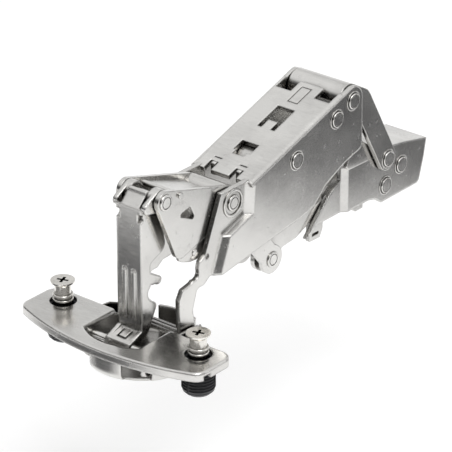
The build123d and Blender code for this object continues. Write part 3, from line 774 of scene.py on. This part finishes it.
@dataclass(frozen=True)
class Card:
    """A small round dark card with a soft edge, which only the metal shows.

    Attributes:
        name: its name.
        centre: its middle, in metres.
        radius: how far its solid part reaches, in metres.
        fade: the width of its soft edge, in metres.
        tone: its colour.
        sides: the corners of its outline.
    """

    name: str
    centre: tuple[float, float]
    radius: float
    fade: float = 0.055
    tone: Colour = (0.10, 0.10, 0.103)
    sides: int = 64

    def stock(self) -> bpy.types.Material:
        """The card's material.

        Returns:
            The material.
        """
        shader = Shader(self.name)
        place = shader.node("ShaderNodeSeparateXYZ", Vector=shader.place)
        x = Value(shader.tree, place.outputs["X"]) - self.centre[0]
        y = Value(shader.tree, place.outputs["Y"]) - self.centre[1]
        past = ((x * x + y * y).math("SQRT") - self.radius).math("DIVIDE", self.fade, clamp=True)
        shader.set(Base_Color=(*self.tone, 1.0), Roughness=PAPER_ROUGHNESS)
        shader.cover(past, shader.surface, shader.node("ShaderNodeBsdfTransparent"))
        return shader.material

    def build(self, height: float) -> None:
        """Lays the card down, out of the camera's sight and without a shadow.

        Args:
            height: the level that it lies at.
        """
        bpy.ops.object.select_all(action="DESELECT")
        bpy.ops.mesh.primitive_circle_add(
            vertices=self.sides, radius=self.radius + self.fade, fill_type="NGON",
            location=(*self.centre, height),
        )
        bpy.ops.object.transform_apply(location=True, rotation=True, scale=True)
        card = bpy.context.object
        card.name = self.name
        card.visible_camera = card.visible_diffuse = card.visible_shadow = False
        card.data.materials.append(self.stock())


@dataclass(frozen=True)
class Studio:
    """Floor, cards, room, lamps and camera.

    Attributes:
        azimuth: the camera's turn round the hinge, in degrees.
        elevation: its height, in degrees.
        distance: how far back it stands, in metres.
        slide: how far it is moved right and up, in metres.
        focal_px: its focal length, in pixels of the photograph.
        clip: the nearest and farthest that it sees, in metres.
        floor_z: the floor's level, below the lowest pose.
        floor_size: the floor's side, in metres.
        paper: the floor's colour in its own light.
        white: its colour to the camera and to the metal.
        glow: the strength that brings that colour up to white.
        cards: the dark cards beside the view.
        card_lift: how far they lie above the floor, in metres.
        backdrop_way: the direction of the lit backdrop.
        backdrop_edge: where the backdrop starts, and the width of its soft edge.
        backdrop_tones: the backdrop's tones, from the horizon up.
        room_tones: the room's tones on the other sides, from the horizon up.
        lamps: the lamps.
        target: the point that they look at.
    """

    azimuth: float = -50.45
    elevation: float = 25.95
    distance: float = 0.898
    slide: tuple[float, float] = (0.02440, 0.02969)
    focal_px: float = 3082.8
    clip: tuple[float, float] = (0.01, 20.0)
    floor_z: float = -0.064
    floor_size: float = 8.0
    paper: Colour = (0.86, 0.86, 0.86)
    white: Colour = (0.80, 0.80, 0.80)
    glow: float = 0.30
    cards: tuple[Card, ...] = (
        Card("left_card", (-0.120, 0.095), 0.050),
        Card("right_card", (0.330, -0.190), 0.120),
    )
    card_lift: float = 1 * MM
    backdrop_way: tuple[float, float] = (0.82, 0.57)
    backdrop_edge: tuple[float, float] = (0.45, 0.25)
    backdrop_tones: tuple[tuple[float, float], ...] = (
        (0.0, 0.95), (0.24, 0.92), (0.47, 0.70), (0.78, 0.92), (1.0, 1.0),
    )
    room_tones: tuple[tuple[float, float], ...] = (
        (0.0, 0.03), (0.32, 0.06), (0.46, 0.30), (0.60, 0.84), (1.0, 1.0),
    )
    lamps: tuple[Lamp, ...] = (
        Lamp("key lamp", (-0.2, -0.5, 1.1), 0.7, 5.0),
        Lamp("side lamp", (0.9, -0.9, 0.5), 0.6, 1.2),
    )
    target: tuple[float, float, float] = (0.05, 0.0, 0.02)

    def frame_axes(self) -> tuple[Vector, Vector, Vector]:
        """The camera's right, up and backward directions.

        Returns:
            Three unit vectors.
        """
        a, e = radians(self.azimuth), radians(self.elevation)
        right = Vector((cos(a), sin(a), 0.0))
        back = Vector((sin(a) * cos(e), -cos(a) * cos(e), sin(e)))
        return right, back.cross(right), back

    def camera(self) -> None:
        """Puts the camera where the photograph was taken from."""
        right, up, back = self.frame_axes()
        lens = bpy.data.cameras.new("camera")
        lens.sensor_fit = "HORIZONTAL"
        lens.sensor_width = 36.0
        lens.lens = lens.sensor_width * self.focal_px / IMAGE_SIDE
        lens.clip_start, lens.clip_end = self.clip
        eye = bpy.data.objects.new("camera", lens)
        bpy.context.scene.collection.objects.link(eye)
        eye.location = back * self.distance + right * self.slide[0] + up * self.slide[1]
        eye.rotation_euler = back.to_track_quat("Z", "Y").to_euler()
        bpy.context.scene.camera = eye

    def table_paper(self) -> bpy.types.Material:
        """Pale table paper, which the camera and the metal both see as white.

        Returns:
            The material.
        """
        shader = Shader("table paper")
        shader.set(Base_Color=(*self.paper, 1.0), Roughness=PAPER_ROUGHNESS)
        white = shader.node(
            "ShaderNodeBsdfPrincipled", None, Base_Color=(*self.white, 1.0), Roughness=PAPER_ROUGHNESS,
            Emission_Color=(1.0, 1.0, 1.0, 1.0), Emission_Strength=self.glow,
        )
        rays = shader.node("ShaderNodeLightPath").outputs
        camera, glossy, clear = (
            Value(shader.tree, rays[f"Is {kind} Ray"]) for kind in ("Camera", "Glossy", "Transmission")
        )
        shader.cover((camera + glossy).math("ADD", clear, clamp=True), shader.surface, white)
        return shader.material

    def floor(self) -> None:
        """Adds the plain pale floor."""
        bpy.ops.object.select_all(action="DESELECT")
        bpy.ops.mesh.primitive_plane_add(size=self.floor_size, location=(0.0, 0.0, self.floor_z))
        floor = bpy.context.object
        floor.name = "floor"
        floor.data.materials.append(self.table_paper())

    def world(self) -> None:
        """A bright ceiling and a lit backdrop, over a darker room on the other sides."""
        world = bpy.data.worlds.new("room")
        world.use_nodes = True
        bpy.context.scene.world = world
        tree = world.node_tree
        split = tree.nodes.new("ShaderNodeSeparateXYZ")
        tree.links.new(tree.nodes.new("ShaderNodeTexCoord").outputs["Generated"], split.inputs[0])
        x, y, height = (Value(tree, split.outputs[axis]) for axis in "XYZ")
        facing = x * self.backdrop_way[0] + y * self.backdrop_way[1]
        mix = tree.nodes.new("ShaderNodeMix")
        mix.data_type = "RGBA"
        start, fade = self.backdrop_edge
        feed(tree, mix.inputs["Factor"], (facing - start).math("DIVIDE", fade, clamp=True))
        for slot, tones in ((mix.inputs[6], self.room_tones), (mix.inputs[7], self.backdrop_tones)):
            band = tree.nodes.new("ShaderNodeValToRGB")
            feed(tree, band.inputs["Fac"], height)
            tree.links.new(band.outputs["Color"], slot)
            while len(band.color_ramp.elements) < len(tones):
                band.color_ramp.elements.new(0.5)
            for element, (place, tone) in zip(band.color_ramp.elements, tones):
                element.position = place
                element.color = (tone, tone, tone, 1.0)
        tree.links.new(mix.outputs[2], tree.nodes["Background"].inputs["Color"])

    def build(self) -> None:
        """Sets up everything round the hinge."""
        self.camera()
        self.floor()
        for card in self.cards:
            card.build(self.floor_z + self.card_lift)
        self.world()
        for lamp in self.lamps:
            lamp.build(self.target)
        bpy.context.scene.view_settings.view_transform = "Standard"
        log.info("studio ready")


class Finish(Enum):
    """The finishes, by what they are on."""

    PLATE = NickelPlate()
    ROLLED = NickelPlate("nickel plate, rolled folds", edge=0.0009)
    PIN = TurnedSteel()
    WIRE = TurnedSteel("spring wire", (0.60, 0.59, 0.58), (0.40, 0.39, 0.38), roughness=0.28, edge=0.0)
    SCREW = TurnedSteel("plated screw", (0.82, 0.80, 0.76), (0.60, 0.58, 0.54), roughness=0.17, edge=0.0001)
    NYLON = BlackNylon()


@dataclass
class Hinge:
    """The whole hinge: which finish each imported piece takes.

    Attributes:
        nodes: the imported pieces, by name.
        finishes: the finish of each material slot.
        rolled: the pieces whose folds are rolled wider.
    """

    nodes: dict[str, bpy.types.Object]
    finishes: dict[str, Finish] = field(default_factory=lambda: {
        "nickel_steel": Finish.PLATE,
        "pin_steel": Finish.PIN,
        "spring_steel": Finish.WIRE,
        "screw_steel": Finish.SCREW,
        "black_plastic": Finish.NYLON,
    })
    rolled: tuple[str, ...] = ("outer_arm", "front_lever", "mounting_arm", "cup_flange", "cup_shell")

    def __post_init__(self) -> None:
        """Makes each finish once."""
        self.made = {finish: finish.value.build() for finish in Finish}

    def add_small_pieces(self) -> None:
        """Models the small pieces and puts them on their bodies."""
        Rings().build(self.made[Finish.PLATE])
        ShieldReturn().build(self.made[Finish.PLATE], self.made[Finish.PIN])
        ArmShoulder().build(self.made[Finish.PLATE])

    def dress(self, subparts: Iterable[dict]) -> None:
        """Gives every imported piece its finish.

        Args:
            subparts: the record's list of nodes and material slots.
        """
        for part in subparts:
            piece = self.nodes[part["node"]]
            finish = Finish.ROLLED if part["node"] in self.rolled else self.finishes[part["material_slot"]]
            piece.data.materials.clear()
            piece.data.materials.append(self.made[finish])
            log.info("%s: %s", part["node"], finish.value.name)


def main() -> None:
    """Dresses the hinge, then builds the studio."""
    logging.basicConfig(level=logging.INFO)
    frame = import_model()
    hinge = Hinge(frame["nodes"])
    hinge.dress(frame["record"]["subparts"])
    hinge.add_small_pieces()
    Studio().build()


if __name__ == "__main__":
    main()
